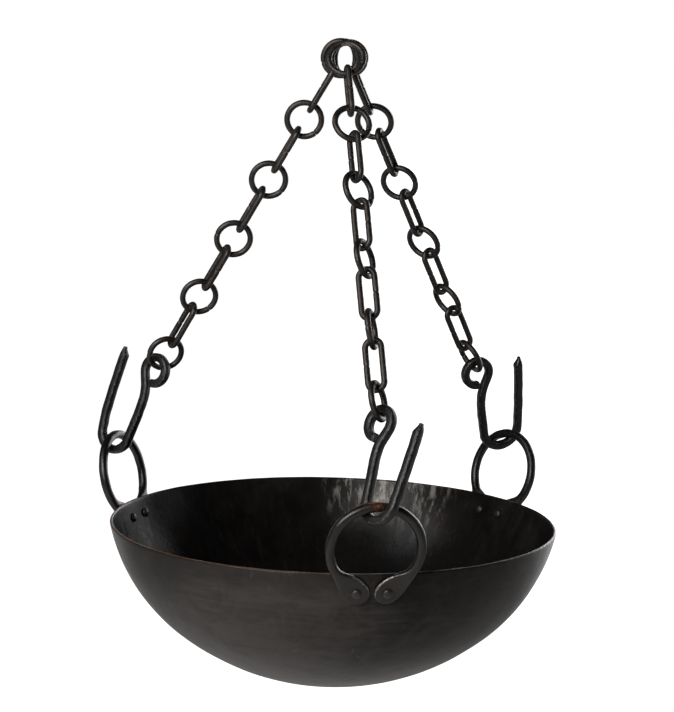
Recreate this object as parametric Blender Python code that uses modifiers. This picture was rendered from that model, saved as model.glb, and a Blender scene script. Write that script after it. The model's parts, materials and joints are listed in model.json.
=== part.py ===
"""Iron bowl hanging on three chains.

Frame: metres, +Z up, the front of the bowl faces -Y. The origin is the hang point, on the axis of the
support bar that passes through the four top rings along Y.
"""

import math

import bmesh
import bpy
from mathutils import Matrix, Vector

# Bowl
RIM_RADIUS = 0.225
BOWL_DEPTH = 0.1625
BOTTOM_RADIUS = 0.2543
WALL_LEAN = math.radians(12)
SHEET = 0.003
HANG_HEIGHT = 0.4705
BOWL_SEGMENTS = 54
ARC_STEPS = 8

# Chains: every piece is round wire, the rings and links alternate
WIRE_RADIUS = 0.003
RING_RADIUS = 0.017
LINK_RADIUS = 0.008
PITCH = 0.071
CHAIN_LENGTH = 0.3857
FIRST_RING = 0.009
RINGS_PER_CHAIN = 5
GAP = 0.0003
EYE_DISTANCE = 0.1997
EYE_HEIGHT = 0.1359

# Hooks: squared bar, rolled eye at the top, open leg outside
HOOK_BAR = 0.009
HOOK_CHAMFER = 0.0022
EYE_RADIUS = 0.0137
BEND_RADIUS = 0.0174
BEND_SHIFT = 0.0012
SHIFT_PER_WIDENING = -1.05
BULGE_PER_WIDENING = 1.4
SEAT_SLACK = 0.0012
SKEW_SLACK = 0.0080
TIP_LENGTH = 0.013

# Handles: round bar with both ends forged to flat paddles
HANDLE_BAR_RADIUS = 0.0046
HANDLE_RADIUS = 0.042
HANDLE_RISE = 0.0455
HANDLE_LEAN = math.radians(14)
RIVET_DROP = 0.017
RIVET_SPREAD = 0.0143
PADDLE_HALF_WIDTH = 0.012
PADDLE_THICKNESS = 0.004
PADDLE_TAPER = 0.019

# Rivets
SHANK_RADIUS = 0.0025
HEAD_RADIUS = 0.0048
HEAD_HEIGHT = 0.0026
INNER_HEAD_GAP = 0.0010

# Support bar positions of the top rings, along Y
HANGING_RING_Y = 0.038
HANGING_RING_DROP = 0.0075
HANGING_RING_TURN = math.radians(53)

UP = Vector((0, 0, 1))


class Arm:
    """One chain with its hook and handle: places round the bowl, and how far each ring is turned.

    leg is the extra height of the hook's tip, and widening is how much wider than the others its bend was forged.
    """

    def __init__(self, name, chain, handle, start_y, turns, hook_turn, seat_slide, leg, widening):
        self.name = name
        self.chain = math.radians(chain)
        self.handle = math.radians(handle)
        self.start = Vector((0, start_y, 0))
        self.turns = [math.radians(turn) for turn in turns]
        self.hook_turn = math.radians(hook_turn)
        self.seat_slide = seat_slide
        self.leg = leg
        self.widening = widening
        reach = outward(self.chain) * EYE_DISTANCE + UP * (EYE_HEIGHT - HANG_HEIGHT)
        self.down = (reach - self.start).normalized()
        self.eye = self.start + self.down * CHAIN_LENGTH

    def point(self, distance):
        """The point this far down the chain from the support bar."""
        return self.start + self.down * distance


def outward(angle):
    """The horizontal direction out of the bowl at an angle from its front, positive to the right."""
    return Vector((math.sin(angle), -math.cos(angle), 0))


def along(angle):
    """The horizontal direction along the rim at an angle from the front."""
    return Vector((math.cos(angle), math.sin(angle), 0))


def clear_scene():
    for thing in list(bpy.data.objects):
        bpy.data.objects.remove(thing, do_unlink=True)


def make_collection(name):
    collection = bpy.data.collections.new(name)
    bpy.context.scene.collection.children.link(collection)
    return collection


def make_material(name, colour, roughness):
    material = bpy.data.materials.new(name)
    material.use_nodes = True
    shader = material.node_tree.nodes["Principled BSDF"]
    shader.inputs["Base Color"].default_value = (*colour, 1)
    shader.inputs["Roughness"].default_value = roughness
    shader.inputs["Metallic"].default_value = 0.9
    return material


def put(collection, thing, name, material):
    """Name an object, give it its own material and move it into the collection."""
    thing.name = name
    thing.data.name = name
    thing.data.materials.clear()
    thing.data.materials.append(material)
    for holder in list(thing.users_collection):
        holder.objects.unlink(thing)
    collection.objects.link(thing)
    return thing


def place(thing, origin, x_axis, y_axis):
    """Set an object's origin and axes."""
    z_axis = x_axis.cross(y_axis)
    turn = Matrix((x_axis, y_axis, z_axis)).transposed()
    thing.matrix_world = Matrix.Translation(origin) @ turn.to_4x4()


def shade_smooth(thing, limit=40):
    """Shade an object smooth, with edges sharper than the limit kept crisp."""
    for face in thing.data.polygons:
        face.use_smooth = True
    thing.data.set_sharp_from_angle(angle=math.radians(limit))


def mesh_object(name, build):
    """An object from a bmesh that the build function fills."""
    work = bmesh.new()
    build(work)
    bmesh.ops.recalc_face_normals(work, faces=work.faces)
    mesh = bpy.data.meshes.new(name)
    work.to_mesh(mesh)
    work.free()
    thing = bpy.data.objects.new(name, mesh)
    bpy.context.scene.collection.objects.link(thing)
    return thing


def loft(name, sections):
    """A closed bar through a row of sections that all have the same number of points."""

    def build(work):
        rows = [[work.verts.new(point) for point in section] for section in sections]
        count = len(rows[0])
        for low, high in zip(rows, rows[1:]):
            for i in range(count):
                j = (i + 1) % count
                work.faces.new((low[i], low[j], high[j], high[i]))
        work.faces.new(rows[0])
        work.faces.new(rows[-1])

    return mesh_object(name, build)


# ---------------------------------------------------------------- bowl


def side_arc():
    """Radius and centre of the wall's arc, tangent to the bottom's arc, and the angle where they meet."""
    normal = Vector((math.cos(WALL_LEAN), -math.sin(WALL_LEAN)))
    rim = Vector((RIM_RADIUS, 0))
    bottom = Vector((0, BOTTOM_RADIUS - BOWL_DEPTH))
    across = rim - bottom
    radius = (BOTTOM_RADIUS**2 - across.dot(across)) / (2 * (BOTTOM_RADIUS - across.dot(normal)))
    centre = rim - normal * radius
    meet = math.atan2(centre.y - bottom.y, centre.x - bottom.x)
    return radius, centre, bottom, meet


def bowl_arc(inset):
    """Points down the bowl's wall from the rim to the axis, a distance inside its outer face."""
    radius, centre, bottom, meet = side_arc()
    top = math.asin((0 - centre.y) / (radius - inset))
    points = []
    for i in range(ARC_STEPS + 1):
        angle = top + (meet - top) * i / ARC_STEPS
        points.append(centre + (radius - inset) * Vector((math.cos(angle), math.sin(angle))))
    for i in range(1, ARC_STEPS + 1):
        angle = meet + (-math.pi / 2 - meet) * i / ARC_STEPS
        points.append(bottom + (BOTTOM_RADIUS - inset) * Vector((math.cos(angle), math.sin(angle))))
    return points


def wall_radius(height):
    """Radius of the bowl's outer face at a height above the rim, which is negative on the wall."""
    radius, centre, _, _ = side_arc()
    return centre.x + math.sqrt(radius**2 - (height - centre.y) ** 2)


def wall_slope(height):
    """Lean of the outer face from the vertical at a height above the rim."""
    radius, centre, _, _ = side_arc()
    return math.asin((centre.y - height) / radius)


def lathe(name, points, steps):
    """A solid turned about Z from a profile that starts and ends on the axis."""
    mesh = bpy.data.meshes.new(name)
    edges = [(i, i + 1) for i in range(len(points) - 1)]
    mesh.from_pydata([(x, 0, z) for x, z in points], edges, [])
    thing = bpy.data.objects.new(name, mesh)
    bpy.context.scene.collection.objects.link(thing)
    screw = thing.modifiers.new("turn", "SCREW")
    screw.steps = steps
    screw.render_steps = steps
    screw.use_merge_vertices = True
    screw.merge_threshold = 0.00005
    return apply_modifiers(thing)


def apply_modifiers(thing):
    """Replace an object's mesh by what its modifiers make of it."""
    graph = bpy.context.evaluated_depsgraph_get()
    mesh = bpy.data.meshes.new_from_object(thing.evaluated_get(graph))
    thing.modifiers.clear()
    thing.data = mesh
    return thing


def make_bowl(collection, arms, cutters, material):
    inside = bowl_arc(SHEET)
    outside = bowl_arc(0)
    profile = [(point.x, point.y) for point in reversed(inside)]
    profile += [(point.x, point.y) for point in outside]
    profile[0] = (0, profile[0][1])
    profile[-1] = (0, profile[-1][1])
    bowl = lathe("bowl", profile, BOWL_SEGMENTS)
    bowl.location = (0, 0, -HANG_HEIGHT)
    for arm in arms:
        for side in (-1, 1):
            origin, normal, _, _ = rivet_frame(arm, side)
            cut_hole(bowl, cutters, origin, normal)
    put(collection, bowl, "bowl", material)
    shade_smooth(bowl)


# ---------------------------------------------------------------- handles and rivets


def rivet_frame(arm, side):
    """A rivet's place on the outer face, the outward normal there and two directions on the face."""
    radius = wall_radius(-RIVET_DROP)
    slope = wall_slope(-RIVET_DROP)
    angle = arm.handle + side * RIVET_SPREAD / radius
    origin = outward(angle) * radius + UP * (-RIVET_DROP - HANG_HEIGHT)
    normal = outward(angle) * math.cos(slope) - UP * math.sin(slope)
    across = along(angle)
    return origin, normal, across, normal.cross(across)


def cut_hole(thing, cutters, origin, normal):
    """Cut a rivet hole through an object, square to the wall."""
    bpy.ops.mesh.primitive_cylinder_add(vertices=12, radius=SHANK_RADIUS + GAP, depth=0.03)
    cutter = bpy.context.active_object
    cutter.name = f"cutter_{thing.name}"
    cutter.rotation_mode = "QUATERNION"
    cutter.rotation_quaternion = normal.to_track_quat("Z", "Y")
    cutter.location = origin
    cutter.hide_render = True
    cutter.display_type = "WIRE"
    for holder in list(cutter.users_collection):
        holder.objects.unlink(cutter)
    cutters.objects.link(cutter)
    hole = thing.modifiers.new("hole", "BOOLEAN")
    hole.operation = "DIFFERENCE"
    hole.solver = "EXACT"
    hole.object = cutter


def handle_axes(arm):
    """Origin on the wall between the rivets, then the handle's across, upward and outward directions."""
    out = outward(arm.handle)
    origin = out * wall_radius(-RIVET_DROP) + UP * (-RIVET_DROP - HANG_HEIGHT)
    upward = out * math.sin(HANDLE_LEAN) + UP * math.cos(HANDLE_LEAN)
    normal = out * math.cos(HANDLE_LEAN) - UP * math.sin(HANDLE_LEAN)
    return origin, along(arm.handle), upward, normal


def wall_offset(arm, across, rise):
    """How far the wall lies behind the handle's own plane, and the wall's normal there."""
    origin, side, upward, normal = handle_axes(arm)
    offset = 0.0
    for _ in range(12):
        point = origin + side * across + upward * rise + normal * offset
        height = min(point.z + HANG_HEIGHT, 0)
        offset -= math.hypot(point.x, point.y) - wall_radius(height)
    angle = math.atan2(point.x, -point.y)
    slope = wall_slope(height)
    return offset, outward(angle) * math.cos(slope) - UP * math.sin(slope)


def smooth_step(value):
    value = min(max(value, 0), 1)
    return value * value * (3 - 2 * value)


def handle_stations():
    """Half of the handle's centre line, from the paddle's tip up to the top of the ring.

    Each station is its place across and up, its direction, and its distance from the rivet towards the bar.
    """
    from_centre = math.hypot(RIVET_SPREAD, HANDLE_RISE)
    bearing = math.atan2(RIVET_SPREAD, HANDLE_RISE)
    tangent = bearing + math.acos(HANDLE_RADIUS / from_centre)
    straight = math.sqrt(from_centre**2 - HANDLE_RADIUS**2)
    step = Vector((math.cos(tangent), math.sin(tangent)))
    rivet = Vector((RIVET_SPREAD, 0))
    stations = []
    for share in (-0.96, -0.8, -0.5, 0):
        distance = PADDLE_HALF_WIDTH * share
        stations.append((rivet + step * distance, step, distance))
    for i in range(1, 5):
        distance = straight * i / 4
        stations.append((rivet + step * distance, step, distance))
    arc_steps = 12
    for i in range(1, arc_steps + 1):
        angle = tangent + (math.pi - tangent) * i / arc_steps
        place_on = Vector((math.sin(angle), -math.cos(angle))) * HANDLE_RADIUS
        heading = Vector((math.cos(angle), math.sin(angle)))
        distance = straight + (angle - tangent) * HANDLE_RADIUS
        stations.append((place_on + Vector((0, HANDLE_RISE)), heading, distance))
    return stations


def handle_section(arm, place_on, heading, distance, side):
    """Eight points round the handle's bar at one station."""
    origin, across, upward, plane_normal = handle_axes(arm)
    widen = 1 - smooth_step((distance - HEAD_RADIUS) / PADDLE_TAPER)
    half_width = HANDLE_BAR_RADIUS + (PADDLE_HALF_WIDTH - HANDLE_BAR_RADIUS) * widen
    if distance < 0:
        half_width = math.sqrt(PADDLE_HALF_WIDTH**2 - distance**2)
    half_depth = HANDLE_BAR_RADIUS + (PADDLE_THICKNESS / 2 - HANDLE_BAR_RADIUS) * widen
    offset, wall_normal = wall_offset(arm, side * place_on.x, place_on.y)
    normal = (wall_normal * widen + plane_normal * (1 - widen)).normalized()
    centre = origin + across * (side * place_on.x) + upward * place_on.y
    centre += plane_normal * (offset * widen + half_depth + GAP)
    forward = (across * (side * heading.x) + upward * heading.y).normalized()
    sideways = forward.cross(normal).normalized()
    flat = 1 / math.cos(math.pi / 8) * widen + (1 - widen)
    points = []
    for i in range(8):
        angle = math.pi * (i + 0.5) / 4
        depth = half_depth * flat * math.sin(angle)
        points.append(centre + sideways * (half_width * math.cos(angle)) + normal * depth)
    return points


def make_handle(collection, arm, cutters, material):
    stations = handle_stations()
    sections = [handle_section(arm, *station, 1) for station in stations]
    for station in reversed(stations[:-1]):
        place_on, heading, distance = station
        sections.append(handle_section(arm, place_on, -heading, distance, -1))
    for i in range(len(stations), len(sections)):
        sections[i] = align(sections[i - 1], sections[i])
    handle = loft(f"handle_{arm.name}", sections)
    for side in (-1, 1):
        origin, normal, _, _ = rivet_frame(arm, side)
        cut_hole(handle, cutters, origin, normal)
    put(collection, handle, f"handle_{arm.name}", material)
    shade_smooth(handle)


def align(before, section):
    """Turn or flip a section's point order so that it follows on from the one before."""
    options = []
    for order in (section, list(reversed(section))):
        for shift in range(len(order)):
            options.append(order[shift:] + order[:shift])
    return min(options, key=lambda points: sum((a - b).length for a, b in zip(before, points)))


def make_rivets(collection, arm, material):
    """Two rivets with a domed head outside the paddle and another inside the bowl."""
    outer = PADDLE_THICKNESS + 3 * GAP
    inner = -SHEET - INNER_HEAD_GAP
    dome = []
    for i in range(5):
        angle = math.pi / 2 * i / 4
        dome.append((HEAD_RADIUS * math.sin(angle), HEAD_HEIGHT * math.cos(angle)))
    profile = [(x, outer + z) for x, z in dome]
    profile += [(SHANK_RADIUS, outer), (SHANK_RADIUS, inner)]
    profile += [(x, inner - z) for x, z in reversed(dome)]
    profile[0] = (0, profile[0][1])
    profile[-1] = (0, profile[-1][1])
    for side, label in ((-1, "left"), (1, "right")):
        origin, normal, across, upward = rivet_frame(arm, side)
        rivet = lathe(f"rivet_{arm.name}_{label}", profile, 12)
        place(rivet, origin, across, upward)
        put(collection, rivet, rivet.name, material)
        shade_smooth(rivet)


# ---------------------------------------------------------------- hooks


def spline(points, steps):
    """A smooth line through the points, with this many steps between each two."""
    ends = [points[0] * 2 - points[1], *points, points[-1] * 2 - points[-2]]
    line = []
    for a, b, c, d in zip(ends, ends[1:], ends[2:], ends[3:]):
        for i in range(steps):
            t = i / steps
            line.append(
                0.5 * (2 * b + (c - a) * t + (2 * a - 5 * b + 4 * c - d) * t**2 + (3 * b - a - 3 * c + d) * t**3)
            )
    return line + [points[-1]]


def hook_path(arm, seat_depth):
    """The hook's centre line in its own plane: X towards the open leg, Y up, the eye's centre at 0, 0."""
    line = []
    for i in range(17):
        angle = math.radians(-106 - 299 * i / 16)
        line.append(EYE_RADIUS * Vector((math.cos(angle), math.sin(angle))))
    slack = SEAT_SLACK + SKEW_SLACK * math.sin(arm.hook_turn) ** 2
    bend_radius = BEND_RADIUS + arm.widening
    bend_rise = bend_radius - HOOK_BAR / 2 - HANDLE_BAR_RADIUS - slack
    bend = Vector((BEND_SHIFT + arm.widening * SHIFT_PER_WIDENING, bend_rise - seat_depth))
    shank_foot = bend + Vector((-bend_radius, 0))
    bulge = Vector((-arm.widening * BULGE_PER_WIDENING, 0))
    neck = [line[-1], Vector((-0.0015, -0.0225)) + bulge * 0.3, Vector((-0.0075, -0.0400)) + bulge, shank_foot]
    line += spline(neck, 4)[1:]
    sweep = math.radians(155)
    for i in range(1, 10):
        angle = math.pi + sweep * i / 9
        line.append(bend + bend_radius * Vector((math.cos(angle), math.sin(angle))))
    heading = Vector((-math.sin(math.pi + sweep), math.cos(math.pi + sweep)))
    leg_end = Vector((0.046, -0.010 + arm.leg))
    leg = [line[-1], line[-1] + heading * 0.026, leg_end - Vector((0.003, TIP_LENGTH)), leg_end]
    line += spline(leg, 3)[1:]
    return line


def hook_axes(arm):
    """The hook's eye, its plane's directions towards the open leg and up the load line, and its normal."""
    seat = handle_seat(arm)
    upward = (arm.eye - seat).normalized()
    out = outward(arm.handle)
    out = (out - upward * out.dot(upward)).normalized()
    side = upward.cross(out)
    leg = out * math.cos(arm.hook_turn) + side * math.sin(arm.hook_turn)
    return leg, upward, leg.cross(upward), (arm.eye - seat).length


def handle_seat(arm):
    """The centre of the handle's bar where the hook holds it."""
    origin, across, upward, normal = handle_axes(arm)
    slide = arm.seat_slide
    rise = HANDLE_RISE + math.sqrt(HANDLE_RADIUS**2 - slide**2)
    return origin + across * slide + upward * rise + normal * (HANDLE_BAR_RADIUS + GAP)


def hook_section(point, heading, squeeze):
    """Eight points round the squared bar, in the hook's own axes, cut away on the inside near the tip."""
    side = Vector((heading.y, -heading.x))
    half = HOOK_BAR / 2
    flat = half - HOOK_CHAMFER
    corners = [(half, flat), (flat, half), (-flat, half), (-half, flat)]
    corners += [(-half, -flat), (-flat, -half), (flat, -half), (half, -flat)]
    points = []
    for across, depth in corners:
        across = half - (half - across) * squeeze
        depth = depth * (0.45 + 0.55 * squeeze)
        flat_point = point + side * across
        points.append(Vector((flat_point.x, flat_point.y, depth)))
    return points


def make_hook(collection, arm, material):
    leg, upward, normal, seat_depth = hook_axes(arm)
    line = hook_path(arm, seat_depth)
    sections = []
    for i, point in enumerate(line):
        before = line[max(i - 1, 0)]
        after = line[min(i + 1, len(line) - 1)]
        squeeze = {1: 0.28, 2: 0.62, 3: 0.92}.get(len(line) - i, 1)
        sections.append(hook_section(point, (after - before).normalized(), squeeze))
    hook = loft(f"hook_{arm.name}", sections)
    place(hook, arm.eye, leg, upward)
    put(collection, hook, f"hook_{arm.name}", material)
    shade_smooth(hook)


# ---------------------------------------------------------------- chains


def ring_frame(arm, distance, turn):
    """A chain piece's centre, its normal and the direction in its plane across the chain."""
    upward = -arm.down
    face = Vector((0, 1, 0))
    face = (face - upward * face.dot(upward)).normalized()
    normal = Matrix.Rotation(turn, 3, upward) @ face
    return arm.point(distance), upward.cross(normal), upward


def make_ring(collection, name, origin, across, upward, material):
    bpy.ops.mesh.primitive_torus_add(
        major_segments=20, minor_segments=6, major_radius=RING_RADIUS, minor_radius=WIRE_RADIUS
    )
    ring = bpy.context.active_object
    place(ring, origin, across, upward)
    put(collection, ring, name, material)
    shade_smooth(ring, 80)


def make_link(collection, name, origin, across, upward, material):
    """An oblong link: a small ring whose two halves are drawn apart along the chain."""
    bpy.ops.mesh.primitive_torus_add(
        major_segments=16, minor_segments=6, major_radius=LINK_RADIUS, minor_radius=WIRE_RADIUS
    )
    link = bpy.context.active_object
    link.data.transform(Matrix.Rotation(math.pi / 16, 4, "Z"))
    inner_reach = RING_RADIUS - 2 * WIRE_RADIUS - GAP
    half = PITCH / 2 - inner_reach - LINK_RADIUS
    for vertex in link.data.vertices:
        vertex.co.y += math.copysign(half, vertex.co.y)
    place(link, origin, across, upward)
    put(collection, link, name, material)
    shade_smooth(link, 80)


def make_chain(collection, arm, material_for):
    """The end ring on the support bar, then links and rings in turn down to the hook's eye."""
    make_ring(collection, f"end_ring_{arm.name}", *ring_frame(arm, FIRST_RING, arm.turns[0]),
              material_for(f"end_ring_{arm.name}"))
    for i in range(1, RINGS_PER_CHAIN + 1):
        turn = (arm.turns[i - 1] + arm.turns[i]) / 2 + math.pi / 2
        name = f"link_{arm.name}_{i}"
        make_link(collection, name, *ring_frame(arm, FIRST_RING + PITCH * (i - 0.5), turn), material_for(name))
        name = f"ring_{arm.name}_{i}"
        make_ring(collection, name, *ring_frame(arm, FIRST_RING + PITCH * i, arm.turns[i]), material_for(name))


def make_hanging_ring(collection, material):
    across = Vector((math.cos(HANGING_RING_TURN), math.sin(HANGING_RING_TURN), 0))
    make_ring(collection, "hanging_ring", Vector((0, HANGING_RING_Y, -HANGING_RING_DROP)), across, UP, material)


ARMS = (
    Arm("front", 11.6, 9.5, -0.0125, (0, 18, 46, 66, 80, 70), 36, 0.0, -0.004, 0.0),
    Arm("right", 131.6, 129.5, 0.0135, (0, -18, -26, -43, -58, -68), -20, 0.009, 0.0, 0.0032),
    Arm("left", -108.4, -110.5, -0.0010, (0, 5, 10, 15, 22, 30), -19, 0.008, 0.004, 0.0018),
)


def main():
    clear_scene()
    whole = make_collection("hanging_bowl")
    cutters = make_collection("cutters")
    cutters.hide_render = True

    def iron(name):
        return make_material(name, (0.045, 0.042, 0.040), 0.45)

    make_bowl(whole, ARMS, cutters, make_material("bowl", (0.030, 0.029, 0.028), 0.35))
    for arm in ARMS:
        make_handle(whole, arm, cutters, make_material(f"handle_{arm.name}", (0.040, 0.036, 0.034), 0.4))
        make_rivets(whole, arm, make_material(f"rivets_{arm.name}", (0.060, 0.048, 0.040), 0.45))
        make_hook(whole, arm, make_material(f"hook_{arm.name}", (0.020, 0.020, 0.022), 0.5))
        make_chain(whole, arm, iron)
    make_hanging_ring(whole, iron("hanging_ring"))


main()
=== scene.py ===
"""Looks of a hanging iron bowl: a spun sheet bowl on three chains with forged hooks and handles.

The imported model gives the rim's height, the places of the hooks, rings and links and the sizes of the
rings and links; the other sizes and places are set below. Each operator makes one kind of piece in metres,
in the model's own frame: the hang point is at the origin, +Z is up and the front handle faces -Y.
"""

import json
import math

import bpy
import numpy as np
from bpy.props import CollectionProperty, FloatProperty, FloatVectorProperty, IntProperty, PointerProperty
from mathutils import Matrix, Vector, noise

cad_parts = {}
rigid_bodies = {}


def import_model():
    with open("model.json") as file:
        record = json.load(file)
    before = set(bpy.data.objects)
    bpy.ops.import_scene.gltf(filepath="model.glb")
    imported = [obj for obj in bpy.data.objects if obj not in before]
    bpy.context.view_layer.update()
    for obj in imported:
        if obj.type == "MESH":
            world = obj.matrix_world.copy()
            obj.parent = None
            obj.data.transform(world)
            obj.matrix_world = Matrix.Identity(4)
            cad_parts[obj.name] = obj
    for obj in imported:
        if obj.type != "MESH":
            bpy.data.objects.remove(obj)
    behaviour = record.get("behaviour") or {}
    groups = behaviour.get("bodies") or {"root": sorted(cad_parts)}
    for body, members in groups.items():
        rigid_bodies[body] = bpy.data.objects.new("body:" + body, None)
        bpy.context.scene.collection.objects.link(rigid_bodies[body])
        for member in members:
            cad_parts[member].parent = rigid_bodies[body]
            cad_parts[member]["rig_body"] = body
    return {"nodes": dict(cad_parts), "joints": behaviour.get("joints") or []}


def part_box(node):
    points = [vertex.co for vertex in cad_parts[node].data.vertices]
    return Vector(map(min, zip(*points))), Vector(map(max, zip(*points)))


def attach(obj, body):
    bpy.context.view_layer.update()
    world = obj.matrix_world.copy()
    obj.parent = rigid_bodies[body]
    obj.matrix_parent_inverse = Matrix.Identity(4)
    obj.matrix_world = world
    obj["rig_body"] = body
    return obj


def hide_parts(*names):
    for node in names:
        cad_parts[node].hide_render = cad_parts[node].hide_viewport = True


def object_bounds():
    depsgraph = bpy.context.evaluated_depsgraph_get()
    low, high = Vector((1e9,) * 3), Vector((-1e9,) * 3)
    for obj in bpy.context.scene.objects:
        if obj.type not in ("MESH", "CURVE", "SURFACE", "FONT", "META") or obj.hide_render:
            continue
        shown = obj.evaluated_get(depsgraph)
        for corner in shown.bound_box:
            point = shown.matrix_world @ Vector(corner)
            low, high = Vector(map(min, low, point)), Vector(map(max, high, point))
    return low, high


bl_info = {
    "name": "Hanging iron bowl",
    "version": (1, 0, 0),
    "blender": (4, 5, 0),
    "location": "3D View > Sidebar > Hanging Bowl",
    "description": "Builds the forged pieces, iron finishes and studio of a bowl hung on three chains",
    "category": "Object",
}

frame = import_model()
CAD_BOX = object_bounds()
NODES = frame["nodes"]
JOINTS = {joint["name"]: joint for joint in frame["joints"]}
BODY_OF = {name: node["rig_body"] for name, node in NODES.items()}

RIM_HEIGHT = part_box("bowl")[1].z
MIDDLE_HEIGHT = (CAD_BOX[0][2] + CAD_BOX[1][2]) / 2
UP = Vector((0, 0, 1))
GAP = 0.0003  # room between pieces that touch

# The three hangers: name, bearing of the handle in degrees, how far the hook sits to the side of the
# handle's top, how much higher the hook's tip is, how much wider the hook's bend was forged, and how
# far the handle's top is rubbed down to rust.
HANGERS = (
    ("front", 9.5, 0.0, -0.004, 0.0, 0.56),
    ("right", 129.5, 0.009, 0.0, 0.0032, 0.24),
    ("left", -110.5, 0.008, 0.004, 0.0018, 0.24),
)

# The bowl's unevenness: size of its waves, seed and share.
BOWL_WAVES = ((0.060, 3.1, 0.8), (0.023, 7.7, 0.3))
LIP_WORN = 0.72

# Where the bar of a handle is cut across, from the tip of its paddle to the rivet, in half widths.
PADDLE_SHARES = (-0.998, -0.98, -0.94, -0.87, -0.77, -0.64, -0.48, -0.30, -0.12)
HANDLE_DENT_SIZE = 0.009
HANDLE_DENT = 0.00030
HANDLE_SUNK = 0.00015
HANDLE_WORN, PADDLE_EDGE_WORN, BAR_FACE_WORN = 0.16, 0.52, 0.16
HANDLE_RUB = 0.14
RUB_SHIFT = 0.003
RUB_REACH = 0.026
HEAD_DENT_SIZE = 0.0042
HEAD_DENT = 0.00035
HEAD_WORN = 0.30

# The hook's line in its own plane, with the eye's centre at 0, 0, X towards the leg and Y up.
EYE_START = math.radians(-106)
EYE_SWEEP = math.radians(299)
BEND_SWEEP = math.radians(155)
NECK_HIGH = Vector((-0.0015, -0.0225))
NECK_LOW = Vector((-0.0075, -0.0400))
LEG_RISE = 0.026
LEG_END = Vector((0.046, -0.010))
TIP_LEAN = 0.003
TIP_CUT = 0.0085
TIP_NARROWING, TIP_THINNING = 0.70, 0.45
START_LENGTH = 0.0012
START_NARROWING = 0.14
HOOK_DENT_SIZE = 0.0085
HOOK_DENT = 0.00042
HOOK_SMALL_DENT_SIZE = 0.0032
HOOK_SMALL_DENT = 0.00010
HOOK_SUNK, HOOK_EYE_SUNK = 0.00010, 0.00022
SMOOTH_EYE = 0.016  # reach of the eye, where the bar is worn smooth
SMOOTH_FADE = 0.012
HOOK_WORN, CORNER_WORN, TIP_WORN = 0.22, 0.26, 0.20
HOOK_RUB, SEAT_RUB = 0.12, 0.22
SEAT_REACH = 0.012

# How far each wire ring's joint is turned from its end, in shares of the ring, over and over.
JOINT_TURNS = (0.06, -0.04, 0.03, -0.07)
JOINT_SHRINK = 0.86
WIRE_LEAN_SIZE = 0.02
WIRE_LEAN = 0.00025
WIRE_DENT_SIZE = 0.004
WIRE_DENT = 0.00009
WIRE_WEAR = 0.00018
WIRE_WORN, BEARING_WORN, JOINT_WORN = 0.14, 0.52, 0.35
WIRE_RUB, BEARING_RUB = 0.20, 0.16
SHORTEST_STRAIGHT = 0.001

# Soft lights: name, height of the point they are set from, place beside it, height of the aim above
# it, size, watts and colour.
WHITE = (1.0, 1.0, 1.0)
LIGHTS = (
    ("key_light", RIM_HEIGHT, (-1.05, -1.85, 1.00), 0.0, (0.7, 0.7), 58, (1.0, 0.95, 0.90)),
    ("back_fill", RIM_HEIGHT, (1.6, 2.0, 0.5), 0.0, (1.4, 1.0), 11, WHITE),
    ("side_fill", RIM_HEIGHT, (2.4, 0.5, 0.2), 0.0, (0.8, 1.2), 3, WHITE),
    ("chain_light", MIDDLE_HEIGHT, (-1.6, -0.9, 1.4), 0.2, (0.5, 0.9), 16, WHITE),
)


# ---------------------------------------------------------------- sizes and colours


def size_property(name, description, default):
    return FloatProperty(name=name, description=description, default=default, min=0, subtype="DISTANCE",
                         unit="LENGTH", precision=5)


def place_property(name, description, default=0.0):
    return FloatProperty(name=name, description=description, default=default, subtype="DISTANCE",
                         unit="LENGTH")


def angle_property(name, description, degrees=0.0):
    return FloatProperty(name=name, description=description, default=math.radians(degrees),
                         subtype="ANGLE", unit="ROTATION")


def colour_property(name, description, default):
    return FloatVectorProperty(name=name, description=description, default=default, size=3, min=0, max=1,
                               subtype="COLOR")


class HangerRow(bpy.types.PropertyGroup):
    """One chain's hook and handle."""

    bearing: angle_property("Bearing", "Where the handle sits round the rim, from the front")
    seat_slide: place_property("Seat slide", "How far beside the handle's top the hook sits")
    tip_rise: place_property("Tip rise", "Extra height of the hook's tip")
    widening: place_property("Widening", "Extra radius of the hook's bend")
    top_rub: FloatProperty(name="Top rub", description="Rust rubbed bare at the top of the handle")


class BowlSizes(bpy.types.PropertyGroup):
    """The spun bowl."""

    rim_radius: size_property("Rim radius", "Outer radius at the rim", 0.225)
    depth: size_property("Depth", "From the rim's plane to the lowest point", 0.1625)
    bottom_radius: size_property("Bottom radius", "Radius of the arc across the bottom", 0.2543)
    wall_lean: angle_property("Wall lean", "Lean of the wall at the rim", 12)
    sheet: size_property("Sheet", "Thickness of the sheet", 0.003)
    unevenness: size_property("Unevenness", "Height of the waves left by the forming", 0.00045)
    segments: IntProperty(name="Segments", description="Faces round the bowl", default=256, min=24)
    steps: IntProperty(name="Steps", description="Faces down each arc of the wall", default=44, min=6)


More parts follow.
